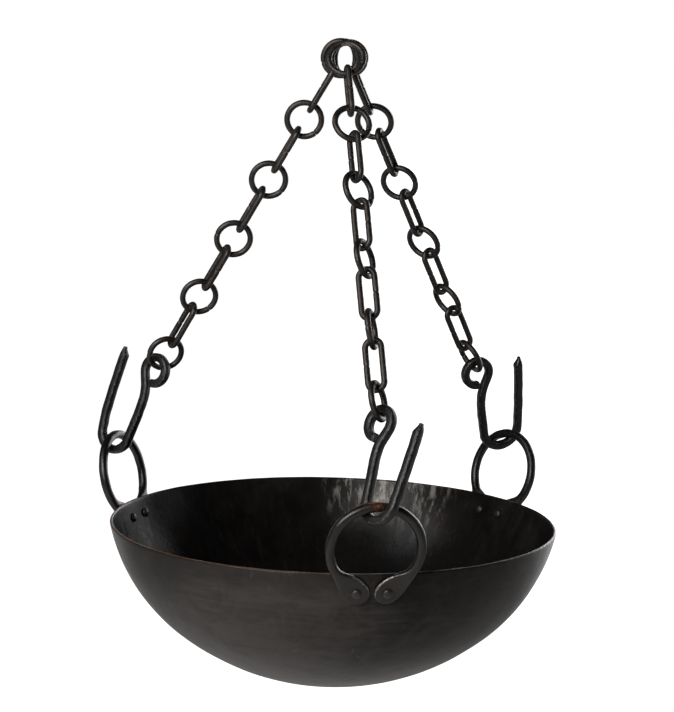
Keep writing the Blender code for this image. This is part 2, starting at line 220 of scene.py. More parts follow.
class HandleSizes(bpy.types.PropertyGroup):
    """The forged ring handles and their rivets."""

    bar_radius: size_property("Bar radius", "Radius of the bar", 0.0046)
    ring_radius: size_property("Ring radius", "Radius of the bar's centre line", 0.042)
    ring_rise: size_property("Ring rise", "Ring's centre above the rivets", 0.0455)
    lean: angle_property("Lean", "Outward lean of the ring", 14)
    rivet_drop: size_property("Rivet drop", "Rivets below the rim", 0.017)
    rivet_spread: size_property("Rivet spread", "Each rivet beside the handle's middle", 0.0143)
    paddle_half_width: size_property("Paddle half width", "Half the width of the flat end", 0.012)
    paddle_thickness: size_property("Paddle thickness", "Thickness of the flat end", 0.004)
    paddle_taper: size_property("Paddle taper", "Length over which the bar flattens", 0.028)
    head_radius: size_property("Rivet head radius", "Radius of a rivet's head", 0.0048)
    head_height: size_property("Rivet head height", "Height of a rivet's head", 0.0026)
    shank_radius: size_property("Rivet shank radius", "Radius of a rivet's shank", 0.0025)


class HookSizes(bpy.types.PropertyGroup):
    """The forged hooks."""

    bar: size_property("Bar", "Width of the squared bar", 0.009)
    chamfer: size_property("Chamfer", "Width taken off each corner", 0.0022)
    eye_radius: size_property("Eye radius", "Radius of the eye's centre line", 0.0137)
    bend_radius: size_property("Bend radius", "Radius of the bend's centre line", 0.0174)
    bend_shift: size_property("Bend shift", "The bend's centre beside the load line", 0.0012)
    shift_share: FloatProperty(name="Shift share", description="Sideways shift of a widened bend, per metre",
                               default=-1.05)
    bulge_share: FloatProperty(name="Bulge share", description="Outward bulge of its shank, per metre",
                               default=1.4)
    tip_length: size_property("Tip length", "Length of the straight end", 0.013)


class ChainSizes(bpy.types.PropertyGroup):
    """Rings and links of round wire."""

    wire_radius: size_property("Wire radius", "Radius of the wire", 0.003)
    joint_gap: size_property("Joint gap", "Open joint between a piece's two ends", 0.0004)
    sides: IntProperty(name="Sides", description="Faces round the wire", default=16, min=6)
    steps: IntProperty(name="Steps", description="Faces along a ring", default=72, min=12)


class IronColours(bpy.types.PropertyGroup):
    """The irons' own colours."""

    bowl_dark: colour_property("Bowl scale", "Darkest scale on the bowl", (0.0022, 0.0021, 0.0022))
    bowl_warm: colour_property("Bowl patina", "Warm grey patina on the bowl", (0.0105, 0.0088, 0.0076))
    # Painted light: the paler colour laid on the lit front-left of the outside.
    bowl_painted_light: colour_property("Painted light", "Paler painted light on the lit front", (0.0340, 0.0305, 0.0295))
    # Painted shade: the darker colour laid on the outside's left shoulder.
    bowl_shade: colour_property("Shaded side", "Painted shade on the bowl's left shoulder", (0.0060, 0.0056, 0.0055))
    bowl_smoke: colour_property("Smoke", "Smoke stain below the rim", (0.0300, 0.0260, 0.0220))
    bowl_line: colour_property("Rubbed line", "Fine rubbed lines", (0.1000, 0.0950, 0.0900))
    # Painted highlight: the pale colour of the reflection streaks inside the back-right wall.
    bowl_painted_highlight: colour_property("Painted highlight", "Painted highlight streaks inside the back-right wall", (0.1700, 0.1660, 0.1600))
    bar_dark: colour_property("Handle scale", "Scale on the handles", (0.0032, 0.0029, 0.0029))
    bar_warm: colour_property("Handle patina", "Warm patina on the handles", (0.0120, 0.0100, 0.0088))
    hook_dark: colour_property("Hook scale", "Scale on the hooks", (0.0022, 0.0023, 0.0027))
    hook_warm: colour_property("Hook patina", "Patina on the hooks", (0.0065, 0.0065, 0.0072))
    wire_dark: colour_property("Wire scale", "Scale on the chains", (0.0045, 0.0038, 0.0034))
    wire_warm: colour_property("Wire patina", "Brown patina on the chains", (0.0200, 0.0150, 0.0120))
    # Painted shade laid on what is inside the bowl.
    inside_painted_shade: colour_property("Inside shade", "Painted shade on what is inside the bowl", (0.0070, 0.0065, 0.0060))
    bare: colour_property("Bare iron", "Iron where the scale has worn off", (0.2300, 0.2150, 0.2000))
    rust: colour_property("Rust", "Rust brown", (0.1500, 0.0520, 0.0180))
    copper: colour_property("Copper brown", "Brown of the hard-worn rim", (0.2000, 0.0950, 0.0520))


class StudioSizes(bpy.types.PropertyGroup):
    """The stage, lights and camera."""

    camera_distance: size_property("Camera distance", "From the camera to the point it looks at", 2.045)
    aim_height: place_property("Aim height", "Height of the point it looks at", -0.3025)
    aim_side: place_property("Aim side", "That point's place across", -0.0004)
    pitch: angle_property("Pitch", "Downward pitch of the camera", 7.8)
    roll: angle_property("Roll", "Roll of the camera", 1.5)
    lens: FloatProperty(name="Lens", description="Focal length", default=103.35, unit="CAMERA")
    floor_drop: size_property("Floor drop", "Floor below the bowl", 0.45)
    floor_colour: colour_property("Floor", "Colour of the floor", (0.93, 0.93, 0.93))
    floor_glow: FloatProperty(name="Floor glow", description="Light given off by the floor", default=1.0,
                              min=0)


class HangingBowl(bpy.types.PropertyGroup):
    """Everything a maker of this bowl may change."""

    bowl: PointerProperty(type=BowlSizes)
    handle: PointerProperty(type=HandleSizes)
    hook: PointerProperty(type=HookSizes)
    chain: PointerProperty(type=ChainSizes)
    iron: PointerProperty(type=IronColours)
    studio: PointerProperty(type=StudioSizes)
    hangers: CollectionProperty(type=HangerRow)


# ---------------------------------------------------------------- shared iron effects (node groups)


class Wiring:
    """Short ways to add nodes to a tree and join them."""

    def __init__(self, tree):
        self.tree = tree

    def node(self, kind, inputs=None, **settings):
        made = self.tree.nodes.new(kind)
        for key, value in settings.items():
            setattr(made, key, value)
        for key, value in (inputs or {}).items():
            self.feed(made.inputs[key], value)
        return made

    def feed(self, socket, value):
        if isinstance(value, bpy.types.NodeSocket):
            self.tree.links.new(value, socket)
        elif socket.type == "RGBA":
            socket.default_value = (*tuple(value)[:3], 1.0)
        else:
            socket.default_value = value

    def noise(self, position, scale, detail=4.0, roughness=0.55, distortion=0.0):
        made = self.node("ShaderNodeTexNoise", {"Vector": position, "Scale": scale, "Detail": detail,
                                                "Roughness": roughness, "Distortion": distortion})
        return made.outputs["Fac"]

    def maths(self, operation, first, second=0.0, clamp=False):
        made = self.node("ShaderNodeMath", {0: first, 1: second}, operation=operation, use_clamp=clamp)
        return made.outputs[0]

    def times(self, first, second, clamp=False):
        return self.maths("MULTIPLY", first, second, clamp)

    def plus(self, first, second, clamp=False):
        return self.maths("ADD", first, second, clamp)

    def minus(self, first, second):
        return self.maths("SUBTRACT", first, second)

    def rest(self, share):
        """What a share leaves of 1."""
        return self.minus(1.0, share)

    def band(self, value, low, high):
        """0 below low and 1 above high, with a soft step between."""
        made = self.node("ShaderNodeMapRange", {"Value": value, "From Min": low, "From Max": high},
                         interpolation_type="SMOOTHSTEP")
        return made.outputs["Result"]

    def spread(self, value, low, high):
        """Turns 0 to 1 into low to high."""
        made = self.node("ShaderNodeMapRange", {"Value": value, "To Min": low, "To Max": high})
        return made.outputs["Result"]

    def mix(self, share, first, second):
        made = self.node("ShaderNodeMix", data_type="RGBA")
        self.feed(made.inputs["Factor"], share)
        self.feed(made.inputs[6], first)
        self.feed(made.inputs[7], second)
        return made.outputs[2]

    def stretch(self, position, factors):
        made = self.node("ShaderNodeVectorMath", {0: position, 1: factors}, operation="MULTIPLY")
        return made.outputs[0]

    def parts(self, position):
        return self.node("ShaderNodeSeparateXYZ", {0: position}).outputs

    def vector(self, x, y, z):
        return self.node("ShaderNodeCombineXYZ", {0: x, 1: y, 2: z}).outputs[0]


def open_group(name, inputs, outputs):
    """A new node group with named sockets: (name, kind, default) in, (name, kind) out."""
    tree = bpy.data.node_groups.new(name, "ShaderNodeTree")
    for label, kind, default in inputs:
        socket = tree.interface.new_socket(name=label, in_out="INPUT", socket_type=kind)
        if default is not None:
            socket.default_value = default
    for label, kind in outputs:
        tree.interface.new_socket(name=label, in_out="OUTPUT", socket_type=kind)
    wiring = Wiring(tree)
    entry = tree.nodes.new("NodeGroupInput")
    leave = tree.nodes.new("NodeGroupOutput")
    return tree, wiring, entry.outputs, leave.inputs


def forge_scale_group():
    """Fire scale: dark and warm patches at two sizes, with a fine pitted skin."""
    tree, w, given, made = open_group(
        "Forge scale",
        (("Position", "NodeSocketVector", None), ("Dark", "NodeSocketColor", None),
         ("Warm", "NodeSocketColor", None), ("Patch Scale", "NodeSocketFloat", 18.0),
         ("Grain Scale", "NodeSocketFloat", 900.0), ("Warmth", "NodeSocketFloat", 0.5)),
        (("Color", "NodeSocketColor"), ("Height", "NodeSocketFloat"), ("Patches", "NodeSocketFloat")),
    )
    broad = w.noise(given["Position"], given["Patch Scale"], 5.0, 0.6, 0.4)
    small = w.noise(given["Position"], w.times(given["Patch Scale"], 7.3), 4.0, 0.65)
    grain = w.noise(given["Position"], given["Grain Scale"], 3.0, 0.7)
    both = w.plus(w.times(broad, 0.62), w.times(small, 0.38))
    centred = w.plus(both, w.minus(given["Warmth"], 0.5))
    patches = w.band(centred, 0.36, 0.66)
    tone = w.mix(patches, given["Dark"], given["Warm"])
    speckle = w.spread(w.band(grain, 0.35, 0.65), 0.72, 1.25)
    shaded = w.node("ShaderNodeMix", data_type="RGBA", blend_type="MULTIPLY")
    shaded.inputs["Factor"].default_value = 1.0
    w.feed(shaded.inputs[6], tone)
    w.feed(shaded.inputs[7], w.vector(speckle, speckle, speckle))
    w.feed(made["Color"], shaded.outputs[2])
    w.feed(made["Height"], w.plus(w.times(grain, 0.5), w.times(small, 0.5)))
    w.feed(made["Patches"], patches)
    return tree


def edge_wear_group():
    """Scale rubbed off where the mesh says a place is worn, with a broken edge to the patch."""
    tree, w, given, made = open_group(
        "Edge wear",
        (("Position", "NodeSocketVector", None), ("Worn", "NodeSocketFloat", 0.0),
         ("Break Scale", "NodeSocketFloat", 260.0), ("Break", "NodeSocketFloat", 0.8)),
        (("Mask", "NodeSocketFloat"),),
    )
    chips = w.noise(given["Position"], given["Break Scale"], 4.0, 0.7)
    shift = w.times(w.minus(chips, 0.5), given["Break"])
    w.feed(made["Mask"], w.band(w.plus(given["Worn"], shift), 0.42, 0.72))
    return tree


def rust_group():
    """Rust specks: small spots that gather in a few places."""
    tree, w, given, made = open_group(
        "Rust specks",
        (("Position", "NodeSocketVector", None), ("Cover", "NodeSocketFloat", 0.3),
         ("Spot Scale", "NodeSocketFloat", 140.0), ("Field Scale", "NodeSocketFloat", 14.0)),
        (("Mask", "NodeSocketFloat"),),
    )
    field = w.noise(given["Position"], given["Field Scale"], 3.0, 0.5)
    spots = w.noise(given["Position"], given["Spot Scale"], 3.0, 0.6)
    raised = w.plus(w.times(field, 0.55), w.times(spots, 0.45))
    shifted = w.plus(raised, w.times(given["Cover"], 0.2))
    w.feed(made["Mask"], w.band(shifted, 0.66, 0.74))
    return tree


def scratch_group():
    """Fine rubbed lines along one direction, and fewer across it."""
    tree, w, given, made = open_group(
        "Rubbed lines",
        (("Position", "NodeSocketVector", None), ("Line Scale", "NodeSocketFloat", 300.0),
         ("Amount", "NodeSocketFloat", 0.5)),
        (("Mask", "NodeSocketFloat"), ("Height", "NodeSocketFloat")),
    )
    wobble = w.noise(given["Position"], 22.0, 2.0)
    ways = []
    for turn, long_share in ((0.5, 0.10), (-0.9, 0.08), (1.35, 0.12)):
        turned = w.node("ShaderNodeVectorRotate", {"Vector": given["Position"], "Angle": turn},
                        rotation_type="Y_AXIS").outputs[0]
        drawn = w.stretch(turned, (long_share, long_share, 1.0))
        line = w.noise(drawn, given["Line Scale"], 3.0, 0.55, 0.35)
        ways.append(w.band(line, 0.66, 0.76))
    lines = w.maths("MAXIMUM", w.maths("MAXIMUM", ways[0], ways[1]), ways[2])
    placed = w.times(lines, w.band(wobble, 0.48, 0.62))
    w.feed(made["Mask"], w.times(placed, given["Amount"], clamp=True))
    w.feed(made["Height"], w.times(placed, -1.0))
    return tree


GROUPS = {}


def effect(w, name, **values):
    """Places a shared effect in a material with its own values."""
    makers = {"scale": forge_scale_group, "wear": edge_wear_group, "rust": rust_group,
              "lines": scratch_group}
    if name not in GROUPS:
        GROUPS[name] = makers[name]()
    placed = w.node("ShaderNodeGroup", node_tree=GROUPS[name])
    for key, value in values.items():
        w.feed(placed.inputs[key.replace("_", " ").title()], value)
    return placed.outputs


def open_material(name):
    """A new material: its wiring, its shader and the position its effects use."""
    material = bpy.data.materials.new(name)
    material.use_nodes = True
    tree = material.node_tree
    tree.nodes.clear()
    w = Wiring(tree)
    shader = w.node("ShaderNodeBsdfPrincipled", {"Specular IOR Level": 0.35})
    w.node("ShaderNodeOutputMaterial", {"Surface": shader.outputs[0]})
    position = w.node("ShaderNodeTexCoord").outputs["Object"]
    return material, w, shader, position


def attribute(w, name):
    return w.node("ShaderNodeAttribute", attribute_name=name, attribute_type="GEOMETRY").outputs["Fac"]


def raise_surface(w, shader, height, strength, distance):
    bump = w.node("ShaderNodeBump", {"Height": height, "Strength": strength, "Distance": distance})
    w.feed(shader.inputs["Normal"], bump.outputs[0])


def bar_iron(name, iron, dark, warm, patch_scale, roughness, rust_cover, warmth, bump=0.00035,
             worn_metal=0.75):
    """Forged bar: scale with worn edges, a little rust and a hammered skin."""
    material, w, shader, position = open_material(name)
    scale = effect(w, "scale", position=position, dark=dark, warm=warm, patch_scale=patch_scale,
                   grain_scale=1400.0, warmth=warmth)
    worn = effect(w, "wear", position=position, worn=attribute(w, "worn"), break_scale=420.0)["Mask"]
    rubbed = effect(w, "rust", position=position, cover=rust_cover)["Mask"]
    rub = effect(w, "wear", position=position, worn=attribute(w, "rub"), break_scale=300.0)["Mask"]
    rusty = w.maths("MAXIMUM", w.times(rubbed, 0.6), rub)
    colour = w.mix(rusty, scale["Color"], iron.rust)
    colour = w.mix(w.times(worn, 0.85), colour, iron.bare)
    # Painted shade: what lies inside the bowl, such as the rivets' inner heads, is darkened.
    colour = w.mix(w.times(attribute(w, "inner"), 0.8), colour, iron.inside_painted_shade)
    w.feed(shader.inputs["Base Color"], colour)
    w.feed(shader.inputs["Metallic"], w.times(worn, worn_metal))
    low, high = roughness
    rough = w.spread(scale["Patches"], low, high)
    w.feed(shader.inputs["Roughness"], w.plus(rough, w.times(rusty, 0.25), clamp=True))
    raise_surface(w, shader, scale["Height"], 0.8, bump)
    return material


def bowl_places(w, position, rim_height, depth):
    """Masks that say where on the bowl a point is, and a position wrapped round its wall."""
    x, y, z = w.parts(position)
    reach = w.node("ShaderNodeVectorMath", {0: w.vector(x, y, 0.0)}, operation="LENGTH").outputs["Value"]
    radius = w.maths("MAXIMUM", reach, 0.01)
    round_x = w.maths("DIVIDE", x, radius)
    round_wall = w.vector(round_x, w.maths("DIVIDE", y, radius), w.times(z, 1.6))
    inner = attribute(w, "inner")
    below_rim = w.maths("DIVIDE", w.minus(rim_height, z), depth)
    return {"x": x, "round_x": round_x, "wall": round_wall, "inner": inner, "below_rim": below_rim,
            "outer": w.rest(inner)}


def towards(w, round_wall, way, low, high):
    """1 on the part of the wall that faces this way, falling to 0 between the two dot products."""
    facing = w.node("ShaderNodeVectorMath", {0: round_wall, 1: way}, operation="DOT_PRODUCT")
    return w.band(facing.outputs["Value"], low, high)


def painted_key_light(w, position, at):
    """Painted light on the outside: a paler, cloudy patch on the front-left, the side the key light falls
    on, fainter just under the rim.
    """
    front = towards(w, at["wall"], (-0.33, -0.94, 0.0), 0.74, 1.02)
    cloud = w.noise(position, 24.0, 8.0, 0.74, 0.9)
    spin = w.noise(w.stretch(at["wall"], (2.2, 2.2, 60.0)), 1.6, 4.0, 0.6)
    blotch = w.plus(w.times(cloud, 0.62), w.times(spin, 0.38))
    # This patch is painted light, strongest on the wall that faces front-left, towards the key light.
    patina = w.plus(front, w.times(w.minus(blotch, 0.5), 3.4))
    patina = w.times(w.times(patina, 0.90, clamp=True), at["outer"])
    return w.times(patina, w.spread(w.band(at["below_rim"], 0.02, 0.20), 0.45, 1.0))


def painted_shade_shoulder(w, at):
    """Painted shade on the outside's left shoulder, under the rim."""
    to_left = w.band(at["round_x"], -0.45, -0.80)
    high = w.rest(w.band(at["below_rim"], 0.12, 0.42))
    return w.times(w.times(w.times(to_left, high), at["outer"]), 0.85)


def bowl_iron(name, iron, rim_height, depth):
    """The bowl's sheet: oiled scale, streaked down the wall, rubbed lines, specks near the rim."""
    material, w, shader, position = open_material(name)
    shader.inputs["Specular IOR Level"].default_value = 0.11
    scale = effect(w, "scale", position=position, dark=iron.bowl_dark, warm=iron.bowl_warm,
                   patch_scale=9.0, grain_scale=1100.0, warmth=0.50)
    at = bowl_places(w, position, rim_height, depth)
    inner = at["inner"]
    outer = at["outer"]
    near_rim = w.rest(w.band(at["below_rim"], 0.05, 0.42))
    streaks = w.times(w.band(w.noise(at["wall"], 26.0, 5.0, 0.65), 0.50, 0.64), inner)
    lines = effect(w, "lines", position=position, line_scale=420.0, amount=w.spread(outer, 0.25, 1.0))
    specks = effect(w, "rust", position=position, cover=w.times(near_rim, 0.30),
                    spot_scale=330.0, field_scale=21.0)["Mask"]
    lip = effect(w, "wear", position=position, worn=attribute(w, "worn"), break_scale=70.0)["Mask"]
    smoke = w.times(w.band(w.noise(position, 11.0, 4.0, 0.6), 0.50, 0.72), near_rim)
    high = w.rest(w.band(at["below_rim"], 0.04, 0.36))
    # Painted highlight: pale streaks high on the inside of the back-right wall, where a soft light from the
    # camera side is reflected.
    back_right = towards(w, at["wall"], (0.29, 0.957, 0.0), 0.930, 0.975)
    painted_highlight = w.times(w.times(streaks, back_right), high)
    tint = w.plus(w.times(at["x"], -1.6), w.noise(position, 9.0))
    lip_colour = w.mix(w.band(tint, 0.42, 0.62), iron.bare, iron.copper)

    # The inside is darkened towards the darkest scale: painted shade in the bowl's hollow.
    colour = w.mix(w.times(inner, 0.55), scale["Color"], iron.bowl_dark)
    for share, laid_over in (
        # painted light on the lit front-left of the outside
        (painted_key_light(w, position, at), iron.bowl_painted_light),
        # painted shade on the outside's left shoulder under the rim
        (painted_shade_shoulder(w, at), iron.bowl_shade),
        (w.times(streaks, 0.35), iron.bowl_warm),
        # painted highlight streaks inside the back-right wall
        (w.times(painted_highlight, 0.85), iron.bowl_painted_highlight),
        (w.times(smoke, 0.28), iron.bowl_smoke),
        (w.times(lines["Mask"], 0.35), iron.bowl_line),
        (w.times(specks, w.spread(outer, 0.10, 0.36)), iron.copper),
        (w.times(lip, 0.8), lip_colour),
    ):
        colour = w.mix(share, colour, laid_over)
    w.feed(shader.inputs["Base Color"], colour)
    w.feed(shader.inputs["Metallic"], w.times(lip, 0.6))

    smear = w.noise(position, 16.0, 5.0, 0.62, 0.6)
    rough = w.minus(w.spread(smear, 0.24, 0.40), w.times(inner, 0.02))
    rough = w.plus(rough, w.times(streaks, -0.10))
    w.feed(shader.inputs["Roughness"], w.plus(rough, w.times(specks, 0.2), clamp=True))
    height = w.plus(scale["Height"], w.times(w.noise(position, 60.0, 3.0), 1.6))
    height = w.plus(height, w.times(lines["Height"], 0.25))
    raise_surface(w, shader, height, 0.55, 0.00030)
    return material


# ---------------------------------------------------------------- meshes


def skin(name, rings, marks):
    """A closed mesh laid over rings of points, with a value for every point under each mark's name."""
    width = len(rings[0])
    points = [point for ring in rings for point in ring]
    faces = []
    for i in range(len(rings) - 1):
        row = i * width
        after = row + width
        for j in range(width):
            k = (j + 1) % width
            faces.append((row + j, row + k, after + k, after + j))
    faces.append(tuple(range(width - 1, -1, -1)))
    faces.append(tuple(range(len(points) - width, len(points))))
    mesh = bpy.data.meshes.new(name)
    mesh.from_pydata([tuple(point) for point in points], [], faces)
    mesh.update()
    for label, values in marks.items():
        layer = mesh.attributes.new(label, "FLOAT", "POINT")
        layer.data.foreach_set("value", np.array(values, np.float32))
    mesh.shade_smooth()
    mesh.set_sharp_from_angle(angle=math.radians(50))
    made = bpy.data.objects.new(name, mesh)
    bpy.context.scene.collection.objects.link(made)
    return made


def stand_for(thing, node, material):
    """The piece takes the place of its CAD node and moves with that node's body."""
    thing.data.materials.append(material)
    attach(thing, BODY_OF[node])
    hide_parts(node)


def outward(angle):
    """Straight out from the bowl's axis, at this bearing from the front."""
    return Vector((math.sin(angle), -math.cos(angle), 0))


def along(angle):
    """Along the rim, at this bearing from the front."""
    return Vector((math.cos(angle), math.sin(angle), 0))


def smooth_step(value):
    value = min(max(value, 0), 1)
    return value * value * (3 - 2 * value)


def waves(point, size, seed):
    """A smooth uneven height from -1 to 1 over patches of about this size."""
    return noise.noise(point / size + Vector((seed, seed * 0.37, -seed)))


def spline(points, steps):
    """A smooth line through the points, with this many steps between each two."""
    ends = [points[0] * 2 - points[1], *points, points[-1] * 2 - points[-2]]
    line = []
    for a, b, c, d in zip(ends, ends[1:], ends[2:], ends[3:]):
        for i in range(steps):
            t = i / steps
            square = t**2 * (2 * a - 5 * b + 4 * c - d)
            cube = t**3 * (3 * b - a - 3 * c + d)
            line.append(0.5 * (2 * b + (c - a) * t + square + cube))
    return line + [points[-1]]


# ---------------------------------------------------------------- bowl


class Wall:
    """The bowl's profile: the wall's arc and the bottom's arc, which meet on one tangent."""

    def __init__(self, sizes, rim_height):
        self.sizes = sizes
        self.rim_height = rim_height
        normal = Vector((math.cos(sizes.wall_lean), -math.sin(sizes.wall_lean)))
        rim = Vector((sizes.rim_radius, 0))
        self.bottom = Vector((0, sizes.bottom_radius - sizes.depth))
        across = rim - self.bottom
        gain = sizes.bottom_radius - across.dot(normal)
        self.radius = (sizes.bottom_radius**2 - across.dot(across)) / (2 * gain)
        self.centre = rim - normal * self.radius
        self.meet = math.atan2(self.centre.y - self.bottom.y, self.centre.x - self.bottom.x)

    def radius_at(self, height):
        """Radius of the outer face at a height above the rim, which is negative on the wall."""
        return self.centre.x + math.sqrt(self.radius**2 - (height - self.centre.y) ** 2)

    def slope_at(self, height):
        return math.asin((self.centre.y - height) / self.radius)

    def arc(self, inset, drop):
        """Points from just under the rim down to near the axis, with the outward normal at each."""
        sizes = self.sizes
        top = math.asin((-drop - self.centre.y) / (self.radius - inset))
        line = []
        for i in range(sizes.steps + 1):
            angle = top + (self.meet - top) * i / sizes.steps
            way = Vector((math.cos(angle), math.sin(angle)))
            line.append((self.centre + way * (self.radius - inset), way))
        last = sizes.steps - 1
        for i in range(1, last + 1):
            angle = self.meet + (-math.pi / 2 - self.meet) * i / sizes.steps
            way = Vector((math.cos(angle), math.sin(angle)))
            line.append((self.bottom + way * (sizes.bottom_radius - inset), way))
        return line


def bowl_profile(wall):
    """Radius, height, normal, wear and inner share down the inside, over the lip and down the outside."""
    sheet = wall.sizes.sheet
    half = sheet / 2
    lip_rows = 8
    rows = []
    for point, way in reversed(wall.arc(sheet, half)):
        rows.append((point, -way, 0.0, 1.0))
    slope = wall.slope_at(0)
    out = Vector((math.cos(slope), -math.sin(slope)))
    rise = Vector((math.sin(slope), math.cos(slope)))
    middle = Vector((wall.sizes.rim_radius, 0)) - out * half - rise * half
    for i in range(1, lip_rows):
        angle = math.pi * (1 - i / lip_rows)
        way = out * math.cos(angle) + rise * math.sin(angle)
        rows.append((middle + way * half, way, math.sin(angle) ** 2, 1 - i / lip_rows))
    for point, way in wall.arc(0, half):
        rows.append((point, way, 0.0, 0.0))
    return rows


def make_bowl(settings, materials):
    """The bowl's sheet, spun from its profile and a little uneven."""
    sizes = settings.bowl
    wall = wall_now()
    segments = sizes.segments
    rings = []
    worn = []
    inner = []
    for point, way, wear, inside in bowl_profile(wall):
        ring = []
        for j in range(segments):
            angle = 2 * math.pi * j / segments
            round_way = Vector((math.cos(angle), math.sin(angle), 0))
            place = round_way * point.x + UP * (point.y + wall.rim_height)
            lift = sum(waves(place, size, seed) * share for size, seed, share in BOWL_WAVES)
            lift *= sizes.unevenness
            if inside > 0.5:
                lift = -lift
            facing = round_way * way.x + UP * way.y
            ring.append(place + facing * lift)
            worn.append(wear * LIP_WORN)
            inner.append(inside)
        rings.append(ring)
    bowl = skin("forged_bowl", rings, marks={"worn": worn, "inner": inner})
    stand_for(bowl, "bowl", materials["bowl"])


# ---------------------------------------------------------------- handles and rivets


class Handle:
    """One handle's place on the wall and the shape of its bar."""

    def __init__(self, settings, wall, hanger):
        self.sizes = settings.handle
        self.wall = wall
        self.bearing = hanger.bearing
        sizes = self.sizes
        out = outward(self.bearing)
        lean = sizes.lean
        self.origin = out * wall.radius_at(-sizes.rivet_drop) + UP * (wall.rim_height - sizes.rivet_drop)
        self.across = along(self.bearing)
        self.upward = out * math.sin(lean) + UP * math.cos(lean)
        self.normal = out * math.cos(lean) - UP * math.sin(lean)

    def wall_offset(self, across, rise):
        """How far the wall lies behind the handle's own plane, and the wall's normal there."""
        offset = 0.0
        for _ in range(12):
            point = self.origin + self.across * across + self.upward * rise + self.normal * offset
            height = min(point.z - self.wall.rim_height, 0)
            offset -= math.hypot(point.x, point.y) - self.wall.radius_at(height)
        angle = math.atan2(point.x, -point.y)
        slope = self.wall.slope_at(height)
        return offset, outward(angle) * math.cos(slope) - UP * math.sin(slope)

    def stations(self):
        """Half of the bar's centre line, from the paddle's tip up to the top of the ring."""
        sizes = self.sizes
        from_centre = math.hypot(sizes.rivet_spread, sizes.ring_rise)
        bearing = math.atan2(sizes.rivet_spread, sizes.ring_rise)
        tangent = bearing + math.acos(sizes.ring_radius / from_centre)
        straight = math.sqrt(from_centre**2 - sizes.ring_radius**2)
        step = Vector((math.cos(tangent), math.sin(tangent)))
        rivet = Vector((sizes.rivet_spread, 0))
        line = []
        for share in PADDLE_SHARES:
            distance = sizes.paddle_half_width * share
            line.append((rivet + step * distance, step, distance))
        straight_steps = 14
        for i in range(straight_steps + 1):
            distance = straight * i / straight_steps
            line.append((rivet + step * distance, step, distance))
        arc_steps = 36
        for i in range(1, arc_steps + 1):
            angle = tangent + (math.pi - tangent) * i / arc_steps
            place_on = Vector((math.sin(angle), -math.cos(angle))) * sizes.ring_radius
            heading = Vector((math.cos(angle), math.sin(angle)))
            distance = straight + (angle - tangent) * sizes.ring_radius
            line.append((place_on + Vector((0, sizes.ring_rise)), heading, distance))
        return line

    def section(self, place_on, heading, distance, side):
        """Points round the bar at one station, and how worn each is."""
        sizes = self.sizes
        widen = 1 - smooth_step((distance - sizes.head_radius) / sizes.paddle_taper)
        half_width = sizes.bar_radius + (sizes.paddle_half_width - sizes.bar_radius) * widen
        if distance < 0:
            half_width = math.sqrt(sizes.paddle_half_width**2 - distance**2)
        half_depth = sizes.bar_radius + (sizes.paddle_thickness / 2 - sizes.bar_radius) * widen
        offset, wall_normal = self.wall_offset(side * place_on.x, place_on.y)
        normal = (wall_normal * widen + self.normal * (1 - widen)).normalized()
        centre = self.origin + self.across * (side * place_on.x) + self.upward * place_on.y
        centre += self.normal * (offset * widen + half_depth + GAP)
        forward = (self.across * (side * heading.x) + self.upward * heading.y).normalized()
        sideways = forward.cross(normal).normalized() * side
        squareness = 2 / (2.3 + 2.2 * widen)
        inward = -1 if sideways.dot(self.origin + self.upward * sizes.ring_rise - centre) < 0 else 1
        count = 24
        points = []
        worn = []
        for i in range(count):
            angle = 2 * math.pi * (i + 0.5) / count
            across = math.copysign(abs(math.cos(angle)) ** squareness, math.cos(angle))
            depth = math.copysign(abs(math.sin(angle)) ** squareness, math.sin(angle))
            point = centre + sideways * (half_width * across) + normal * (half_depth * depth)
            dent = waves(point, HANDLE_DENT_SIZE, 1.0 + self.bearing) * HANDLE_DENT
            dent *= 1 - 0.7 * widen
            points.append(point + (point - centre).normalized() * (dent - HANDLE_SUNK))
            edge = smooth_step((abs(across) - 0.72) / 0.25) * smooth_step((depth + 0.7) / 0.8)
            inner_edge = edge * (1.0 if across * inward > 0 else 0.42)
            on_face = (1 - widen) * BAR_FACE_WORN * max(depth, 0)
            worn.append(HANDLE_WORN + inner_edge * widen * PADDLE_EDGE_WORN + on_face)
        return points, worn


def align(before, section, values):
    """Turn or flip a section's point order so that it follows on from the one before."""
    pairs = list(zip(section, values))
    options = []
    for order in (pairs, list(reversed(pairs))):
        for shift in range(len(order)):
            options.append(order[shift:] + order[:shift])
    best = min(options, key=lambda row: sum((a - b[0]).length for a, b in zip(before, row)))
    return [point for point, _ in best], [value for _, value in best]


def make_handle(settings, wall, hanger, materials):
    """A ring handle: one half of its bar's line, then the same line back down the other side."""
    handle = Handle(settings, wall, hanger)
    line = handle.stations()
    walk = [(station, 1) for station in line]
    for place_on, heading, distance in reversed(line[:-1]):
        walk.append(((place_on, -heading, distance), -1))
    rings = []
    worn = []
    rub = []
    top = handle.origin + handle.upward * (handle.sizes.ring_rise + handle.sizes.ring_radius)
    seat = top + handle.across * hanger.seat_slide
    for station, side in walk:
        points, values = handle.section(*station, side)
        if rings:
            points, values = align(rings[-1], points, values)
        rings.append(points)
        worn += values
        for point in points:
            near = 1 - min((point - seat + handle.across * RUB_SHIFT).length / RUB_REACH, 1)
            rub.append(HANDLE_RUB + hanger.top_rub * near)
    name = f"handle_{hanger.name}"
    thing = skin(f"forged_{name}", rings, marks={"worn": worn, "rub": rub})
    make_faces_outward(thing)
    stand_for(thing, name, materials["handle"])


def make_faces_outward(thing):
    """Turns every face the way a closed solid's faces point."""
    mesh = thing.data
    volume = 0.0
    for face in mesh.polygons:
        volume += face.center.dot(face.normal) * face.area
    if volume < 0:
        mesh.flip_normals()


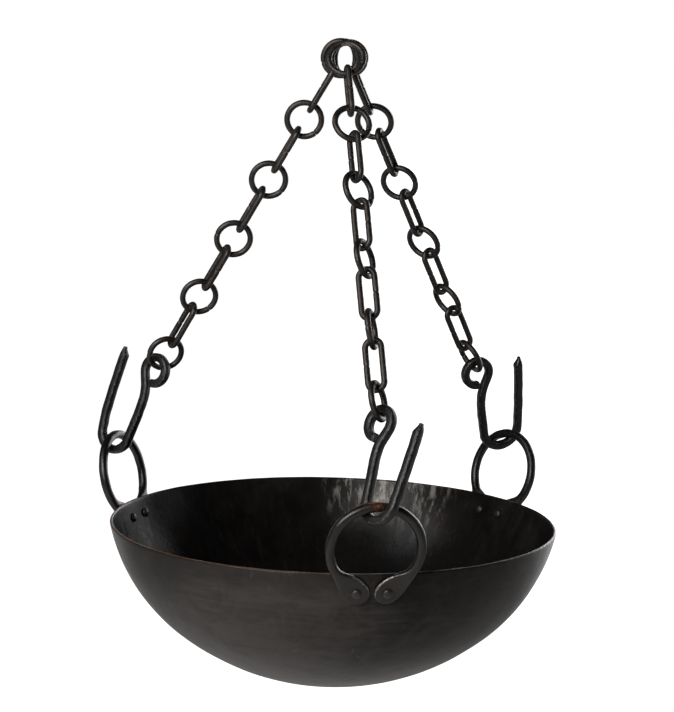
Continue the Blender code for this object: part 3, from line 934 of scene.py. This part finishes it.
def make_rivets(settings, wall, hanger, materials):
    """Two rivets with a hammered head outside the paddle and another inside the bowl."""
    sizes = settings.handle
    sides = 28
    outer = sizes.paddle_thickness + 2 * GAP
    inner = -settings.bowl.sheet - 2 * GAP
    dome = []
    for i in range(1, 8):
        angle = math.pi / 2 * i / 7
        dome.append((sizes.head_radius * math.sin(angle) ** 0.9, sizes.head_height * math.cos(angle)))
    profile = [(x, outer + z) for x, z in dome]
    profile += [(sizes.shank_radius, outer - GAP), (sizes.shank_radius, inner + GAP)]
    profile += [(x, inner - z) for x, z in reversed(dome)]
    radius = wall.radius_at(-sizes.rivet_drop)
    slope = wall.slope_at(-sizes.rivet_drop)
    for side, label in ((-1, "left"), (1, "right")):
        angle = hanger.bearing + side * sizes.rivet_spread / radius
        origin = outward(angle) * radius + UP * (wall.rim_height - sizes.rivet_drop)
        normal = outward(angle) * math.cos(slope) - UP * math.sin(slope)
        across = along(angle)
        upward = normal.cross(across)
        rings = []
        worn = []
        inside = []
        for reach, height in profile:
            ring = []
            for i in range(sides):
                turn = 2 * math.pi * i / sides
                way = across * math.cos(turn) + upward * math.sin(turn)
                point = origin + way * reach + normal * height
                dent = waves(point, HEAD_DENT_SIZE, 5.0 + side) * HEAD_DENT
                ring.append(point + (way * 0.6 + normal * math.copysign(0.4, height)) * dent)
                worn.append(HEAD_WORN if height > 0 else 0.0)
                # The inner heads are marked here, and their material darkens them as painted shade.
                inside.append(0.0 if height > 0 else 1.0)
            rings.append(ring)
        name = f"rivet_{hanger.name}_{label}"
        thing = skin(f"hammered_{name}", rings, marks={"worn": worn, "inner": inside})
        make_faces_outward(thing)
        stand_for(thing, name, materials["rivet"])


# ---------------------------------------------------------------- hooks


def hook_frame(node):
    """The hook's eye, its directions towards the open leg and up the load line, from its joint and mesh."""
    joint = JOINTS[f"{node}_twist"]
    eye = Vector(joint["pos_m"])
    upward = Vector(joint["axis"]).normalized()
    if upward.z < 0:
        upward = -upward
    points = node_points(node)
    from_eye = [Vector(row) - eye for row in points]
    flat = np.array([point - upward * point.dot(upward) for point in from_eye])
    _, turns = np.linalg.eigh(np.cov(flat.T))
    leg = Vector(turns[:, -1])
    leg = (leg - upward * leg.dot(upward)).normalized()
    if leg.dot(Vector(flat[np.argmax(np.linalg.norm(flat, axis=1))])) < 0:
        leg = -leg
    return eye, leg, upward, points


def node_points(node):
    """Every vertex of a CAD node, once."""
    mesh = NODES[node].data
    flat = np.zeros(len(mesh.vertices) * 3)
    mesh.vertices.foreach_get("co", flat)
    return np.unique(np.round(flat.reshape(-1, 3), 6), axis=0)


def hook_line(sizes, bend_foot, hanger):
    """The hook's centre line in its own plane, from the eye's open end to the tip."""
    line = []
    eye_steps = 52
    for i in range(eye_steps + 1):
        angle = EYE_START - EYE_SWEEP * i / eye_steps
        line.append(sizes.eye_radius * Vector((math.cos(angle), math.sin(angle))))
    radius = sizes.bend_radius + hanger.widening
    bend = Vector((sizes.bend_shift + hanger.widening * sizes.shift_share, bend_foot + radius))
    bulge = Vector((-hanger.widening * sizes.bulge_share, 0))
    neck = [line[-1], NECK_HIGH + bulge * 0.3, NECK_LOW + bulge, bend - Vector((radius, 0))]
    line += spline(neck, 12)[1:]
    bend_steps = 34
    for i in range(1, bend_steps + 1):
        angle = math.pi + BEND_SWEEP * i / bend_steps
        line.append(bend + radius * Vector((math.cos(angle), math.sin(angle))))
    heading = Vector((math.sin(BEND_SWEEP), -math.cos(BEND_SWEEP)))
    leg_end = LEG_END + Vector((0, hanger.tip_rise))
    tip_foot = leg_end - Vector((TIP_LEAN, sizes.tip_length))
    leg = [line[-1], line[-1] + heading * LEG_RISE, tip_foot, leg_end]
    line += spline(leg, 12)[1:]
    return line


def bar_section(sizes):
    """Points round the squared bar: across, depth and how much each is on a corner."""
    half = sizes.bar / 2
    flat = half - sizes.chamfer
    points = []
    for quarter in range(4):
        turn = Matrix.Rotation(quarter * math.pi / 2, 2)
        for share in (-1, -0.5, 0, 0.5, 1):
            crown = 0.00012 * (1 - share * share)
            points.append((turn @ Vector((half + crown, flat * share)), 0.45 if abs(share) == 1 else 0.0))
        corner = turn @ Vector((half - sizes.chamfer * 0.36, half - sizes.chamfer * 0.36))
        points.append((corner, 1.0))
    return points


def make_hook(settings, hanger, materials):
    """An open hook, laid on the place of its CAD node, with a cut tip and hammered faces."""
    node = f"hook_{hanger.name}"
    sizes = settings.hook
    eye, leg, upward, cad_points = hook_frame(node)
    depth_way = leg.cross(upward)
    lowest = min(Vector(row - np.array(eye)).dot(upward) for row in cad_points)
    bend_foot = lowest + sizes.bar / 2
    line = hook_line(sizes, bend_foot, hanger)
    total = sum((b - a).length for a, b in zip(line, line[1:]))
    section = bar_section(sizes)
    half = sizes.bar / 2
    rings = []
    worn = []
    rub = []
    run = 0.0
    for i, point in enumerate(line):
        before = line[max(i - 1, 0)]
        after = line[min(i + 1, len(line) - 1)]
        heading = (after - before).normalized()
        side = Vector((heading.y, -heading.x))
        run += (point - before).length
        to_tip = total - run
        cut = smooth_step(1 - to_tip / TIP_CUT)
        start = smooth_step(1 - run / START_LENGTH)
        ring = []
        for flat_point, corner in section:
            across, depth = flat_point
            across = half - (half - across) * (1 - TIP_NARROWING * cut)
            depth *= 1 - TIP_THINNING * cut
            across *= 1 - START_NARROWING * start
            depth *= 1 - START_NARROWING * start
            place = point + side * across
            where = eye + leg * place.x + upward * place.y + depth_way * depth
            uneven = 0.30 + 0.70 * smooth_step((place.length - SMOOTH_EYE) / SMOOTH_FADE)
            dent = waves(where, HOOK_DENT_SIZE, 2.0 + hanger.bearing) * HOOK_DENT * uneven
            dent += waves(where, HOOK_SMALL_DENT_SIZE, 4.0) * HOOK_SMALL_DENT * uneven
            sunk = HOOK_SUNK + HOOK_EYE_SUNK * (1 - uneven)
            push = leg * (side.x * across) + upward * (side.y * across) + depth_way * depth
            ring.append(where + push.normalized() * (dent - sunk))
            worn.append(HOOK_WORN + CORNER_WORN * corner + TIP_WORN * cut * corner)
            low = (place.y - bend_foot) / SEAT_REACH
            rub.append(HOOK_RUB + SEAT_RUB * max(0.0, 1 - abs(low)))
        rings.append(ring)
    thing = skin(f"forged_{node}", rings, marks={"worn": worn, "rub": rub})
    make_faces_outward(thing)
    stand_for(thing, node, materials["hook"])


# ---------------------------------------------------------------- chains


def wire_frame(node, upward):
    """A chain piece's centre, its normal, the direction across it and up it, and its outer half sizes."""
    points = node_points(node)
    centre = Vector(points.mean(0))
    _, turns = np.linalg.eigh(np.cov((points - points.mean(0)).T))
    normal = Vector(turns[:, 0])
    upward = (upward - normal * upward.dot(normal)).normalized()
    across = upward.cross(normal)
    half_height = max(abs((Vector(row) - centre).dot(upward)) for row in points)
    half_width = max(abs((Vector(row) - centre).dot(across)) for row in points)
    return centre, across, upward, half_width, half_height


def loop_line(radius, stretch, opening, joint_share, steps):
    """Points round a ring, or round an oblong whose ends are drawn apart, with the outward way at each.

    X is across the piece and Y along it. The line starts and ends at its open joint.
    """
    arc = math.pi * radius
    straight = 2 * stretch
    whole = 2 * (arc + straight)
    line = []
    for i in range(steps + 1):
        run = joint_share * whole + opening / 2 + (whole - opening) * i / steps
        run = (run + straight / 2) % whole
        lap, run = divmod(run, arc + straight)
        sign = -1 if lap >= 1 else 1
        if run < straight:
            spot, way = Vector((radius, run - stretch)), Vector((1, 0))
        else:
            angle = (run - straight) / radius
            way = Vector((math.cos(angle), math.sin(angle)))
            spot = way * radius + Vector((0, stretch))
        line.append((spot * sign, way * sign))
    return line


def wire_loop(name, centre, across, upward, radius, stretch, sizes, joint_share, seed):
    """Round wire bent into a ring or an oblong link, with a butt joint and worn bearing places."""
    normal = across.cross(upward)
    rings = []
    worn = []
    rub = []
    steps = sizes.steps
    line = loop_line(radius, stretch, sizes.joint_gap, joint_share, steps)
    for i, (flat_spot, flat_way) in enumerate(line):
        way = across * flat_way.x + upward * flat_way.y
        spot = centre + across * flat_spot.x + upward * flat_spot.y
        at_end = i in (0, steps)
        shrink = JOINT_SHRINK if at_end else 1.0
        lean = waves(spot, WIRE_LEAN_SIZE, seed) * WIRE_LEAN
        ring = []
        for j in range(sizes.sides):
            turn = 2 * math.pi * j / sizes.sides
            facing = way * math.cos(turn) + normal * math.sin(turn)
            bearing = smooth_step((abs(flat_way.y) - 0.80) / 0.2) * smooth_step(-math.cos(turn) + 0.1)
            thickness = sizes.wire_radius * shrink - WIRE_WEAR * bearing
            point = spot + facing * thickness + normal * lean
            dent = waves(point, WIRE_DENT_SIZE, seed) * WIRE_DENT
            ring.append(point + facing * dent)
            worn.append(WIRE_WORN + BEARING_WORN * bearing + (JOINT_WORN if at_end else 0))
            rub.append(WIRE_RUB + BEARING_RUB * bearing)
        rings.append(ring)
    thing = skin(name, rings, marks={"worn": worn, "rub": rub})
    make_faces_outward(thing)
    return thing


def make_wire_pieces(settings, names, materials):
    """Every ring and link, each laid on the place of its CAD node."""
    sizes = settings.chain
    for order, node in enumerate(names):
        joint = JOINTS.get(f"{node}_twist")
        upward = Vector(joint["axis"]) if joint else UP.copy()
        if upward.z < 0:
            upward = -upward
        centre, across, upward, half_width, half_height = wire_frame(node, upward)
        radius = half_width - sizes.wire_radius
        stretch = max(half_height - half_width, 0)
        if stretch < SHORTEST_STRAIGHT:
            stretch = 0.0
        joint_share = 0.0 if order % 2 else 0.5
        if not stretch:
            joint_share += JOINT_TURNS[order % len(JOINT_TURNS)]
        thing = wire_loop(f"wire_{node}", centre, across, upward, radius, stretch, sizes, joint_share,
                          1.7 * order)
        stand_for(thing, node, materials["chain"])


# ---------------------------------------------------------------- studio


def make_floor(settings):
    """A wide pale floor under the bowl, lit so that it has no edge against the white studio."""
    studio = settings.studio
    low = CAD_BOX[0][2] - studio.floor_drop
    steps = 96
    reach = 40.0
    points = []
    for i in range(steps):
        turn = 2 * math.pi * i / steps
        points.append((reach * math.cos(turn), reach * math.sin(turn), low))
    mesh = bpy.data.meshes.new("studio_floor")
    mesh.from_pydata(points, [], [tuple(range(steps))])
    floor = bpy.data.objects.new("studio_floor", mesh)
    bpy.context.scene.collection.objects.link(floor)
    material, w, shader, position = open_material("pale_floor")
    tone = w.noise(position, 3.0, 3.0)
    w.feed(shader.inputs["Base Color"], w.mix(tone, (0.80, 0.80, 0.80, 1.0), studio.floor_colour))
    shader.inputs["Roughness"].default_value = 0.9
    shader.inputs["Emission Color"].default_value = (0.97, 0.985, 1.0, 1.0)
    seen = w.node("ShaderNodeLightPath").outputs["Is Camera Ray"]
    across, back, _ = w.parts(position)
    to_right = w.spread(w.band(across, -2.5, 2.5), 0.40, 1.90)
    washed = w.times(w.band(back, 0.7, 2.6), to_right)
    w.feed(shader.inputs["Emission Strength"],
           w.times(w.maths("MAXIMUM", seen, washed), studio.floor_glow))
    mesh.materials.append(material)


def soft_light(name, height, place, aim_rise, size, watts, colour):
    """A flat soft lamp, turned to the object's axis."""
    foot = UP * height
    place = foot + Vector(place)
    target = foot + UP * aim_rise
    lamp = bpy.data.lights.new(name, "AREA")
    lamp.shape = "RECTANGLE"
    lamp.size = size[0]
    lamp.size_y = size[1]
    lamp.energy = watts
    lamp.color = colour
    thing = bpy.data.objects.new(name, lamp)
    thing.location = place
    thing.rotation_mode = "QUATERNION"
    thing.rotation_quaternion = (target - place).to_track_quat("-Z", "Y")
    bpy.context.scene.collection.objects.link(thing)


def make_sky():
    """A white studio to look at, which lights the bowl from behind and the right, not from above."""
    world = bpy.data.worlds.new("white_studio")
    bpy.context.scene.world = world
    world.use_nodes = True
    tree = world.node_tree
    tree.nodes.clear()
    w = Wiring(tree)
    x, y, z = w.parts(w.node("ShaderNodeTexCoord").outputs["Generated"])
    behind = w.band(y, 0.50, 0.85)
    right = w.band(x, -0.30, 0.30)
    below_top = w.rest(w.band(z, 0.10, 0.50))
    sides = w.times(behind, w.spread(right, 0.22, 3.20))
    level = w.plus(w.times(sides, below_top), w.spread(below_top, 0.012, 0.04))
    seen = w.node("ShaderNodeLightPath").outputs["Is Camera Ray"]
    shown = w.mix(seen, w.vector(level, level, level), (1.0, 1.0, 1.0, 1.0))
    light = w.node("ShaderNodeBackground", {"Color": shown, "Strength": 1.0})
    w.node("ShaderNodeOutputWorld", {"Surface": light.outputs[0]})


def make_camera(settings):
    """A long lens that looks a little down on the bowl, with a slight roll."""
    studio = settings.studio
    forward = Vector((0, math.cos(studio.pitch), -math.sin(studio.pitch)))
    level_up = Vector((0, math.sin(studio.pitch), math.cos(studio.pitch)))
    right = Vector((1, 0, 0))
    cos_roll, sin_roll = math.cos(studio.roll), math.sin(studio.roll)
    camera_right = right * cos_roll + level_up * sin_roll
    camera_up = level_up * cos_roll - right * sin_roll
    aim = Vector((studio.aim_side, 0, studio.aim_height))
    eye = aim - forward * studio.camera_distance
    lens = bpy.data.cameras.new("studio_camera")
    lens.lens = studio.lens
    lens.sensor_width = 36
    lens.sensor_fit = "AUTO"
    camera = bpy.data.objects.new("studio_camera", lens)
    turn = Matrix((camera_right, camera_up, -forward)).transposed()
    camera.matrix_world = Matrix.Translation(eye) @ turn.to_4x4()
    bpy.context.scene.collection.objects.link(camera)
    bpy.context.scene.camera = camera


# ---------------------------------------------------------------- operators and panel

STATE = {}


def settings_now():
    return bpy.context.scene.hanging_bowl


def finishes():
    """The irons, made once."""
    if "materials" not in STATE:
        settings = settings_now()
        iron = settings.iron
        STATE["materials"] = {
            "bowl": bowl_iron("bowl_iron", iron, RIM_HEIGHT, settings.bowl.depth),
            "handle": bar_iron("handle_iron", iron, iron.bar_dark, iron.bar_warm, patch_scale=60.0,
                               roughness=(0.30, 0.44), rust_cover=0.0, warmth=0.44),
            "rivet": bar_iron("rivet_iron", iron, iron.bar_warm, iron.rust, patch_scale=160.0,
                              roughness=(0.42, 0.6), rust_cover=0.40, warmth=0.34, worn_metal=0.5),
            "hook": bar_iron("hook_iron", iron, iron.hook_dark, iron.hook_warm, patch_scale=90.0,
                             roughness=(0.34, 0.50), rust_cover=0.0, warmth=0.42, bump=0.0006),
            "chain": bar_iron("chain_iron", iron, iron.wire_dark, iron.wire_warm, patch_scale=110.0,
                              roughness=(0.36, 0.50), rust_cover=0.0, warmth=0.48),
        }
    return STATE["materials"]


def wall_now():
    return Wall(settings_now().bowl, RIM_HEIGHT)


class OBJECT_OT_bowl_stage(bpy.types.Operator):
    """Make the pale floor, the soft lights and the camera"""

    bl_idname = "object.hanging_bowl_stage"
    bl_label = "Stage"

    def execute(self, context):
        settings = settings_now()
        make_camera(settings)
        make_sky()
        make_floor(settings)
        for row in LIGHTS:
            soft_light(*row)
        bpy.context.scene.view_settings.view_transform = "Standard"
        return {"FINISHED"}


class OBJECT_OT_bowl(bpy.types.Operator):
    """Spin the bowl's sheet with its rounded lip"""

    bl_idname = "object.hanging_bowl_sheet"
    bl_label = "Bowl"

    def execute(self, context):
        make_bowl(settings_now(), finishes())
        return {"FINISHED"}


def at_each_hanger(make, *parts):
    """Makes one kind of piece at each of the three hangers."""
    settings = settings_now()
    for hanger in settings.hangers:
        make(settings, *parts, hanger, finishes())
    return {"FINISHED"}


class OBJECT_OT_bowl_handles(bpy.types.Operator):
    """Forge the three ring handles with their flat ends"""

    bl_idname = "object.hanging_bowl_handles"
    bl_label = "Handles"

    def execute(self, context):
        return at_each_hanger(make_handle, wall_now())


class OBJECT_OT_bowl_rivets(bpy.types.Operator):
    """Set the six rivets"""

    bl_idname = "object.hanging_bowl_rivets"
    bl_label = "Rivets"

    def execute(self, context):
        return at_each_hanger(make_rivets, wall_now())


class OBJECT_OT_bowl_hooks(bpy.types.Operator):
    """Forge the three hooks"""

    bl_idname = "object.hanging_bowl_hooks"
    bl_label = "Hooks"

    def execute(self, context):
        return at_each_hanger(make_hook)


class OBJECT_OT_bowl_chains(bpy.types.Operator):
    """Bend the wire rings and links of the chains and the ring that hangs beside them"""

    bl_idname = "object.hanging_bowl_chains"
    bl_label = "Chains"

    def execute(self, context):
        names = sorted(name for name in NODES if "ring" in name or "link" in name)
        make_wire_pieces(settings_now(), names, finishes())
        return {"FINISHED"}


OPERATORS = (OBJECT_OT_bowl_stage, OBJECT_OT_bowl, OBJECT_OT_bowl_handles, OBJECT_OT_bowl_rivets,
             OBJECT_OT_bowl_hooks, OBJECT_OT_bowl_chains)


class VIEW3D_PT_hanging_bowl(bpy.types.Panel):
    """Lists the makers of the bowl's pieces"""

    bl_label = "Hanging Bowl"
    bl_idname = "VIEW3D_PT_hanging_bowl"
    bl_space_type = "VIEW_3D"
    bl_region_type = "UI"
    bl_category = "Hanging Bowl"

    def draw(self, context):
        column = self.layout.column()
        for operator in OPERATORS:
            column.operator(operator.bl_idname)


CLASSES = (HangerRow, BowlSizes, HandleSizes, HookSizes, ChainSizes, IronColours, StudioSizes, HangingBowl,
           *OPERATORS, VIEW3D_PT_hanging_bowl)


def register():
    for cls in CLASSES:
        bpy.utils.register_class(cls)
    bpy.types.Scene.hanging_bowl = PointerProperty(type=HangingBowl)


def unregister():
    del bpy.types.Scene.hanging_bowl
    for cls in reversed(CLASSES):
        bpy.utils.unregister_class(cls)


def main():
    register()
    settings = settings_now()
    for name, bearing, slide, rise, widening, rub in HANGERS:
        row = settings.hangers.add()
        row.name = name
        row.bearing = math.radians(bearing)
        row.seat_slide = slide
        row.tip_rise = rise
        row.widening = widening
        row.top_rub = rub
    bpy.ops.object.hanging_bowl_stage()
    bpy.ops.object.hanging_bowl_sheet()
    bpy.ops.object.hanging_bowl_handles()
    bpy.ops.object.hanging_bowl_rivets()
    bpy.ops.object.hanging_bowl_hooks()
    bpy.ops.object.hanging_bowl_chains()
    bpy.context.view_layer.update()


if __name__ == "__main__":
    main()
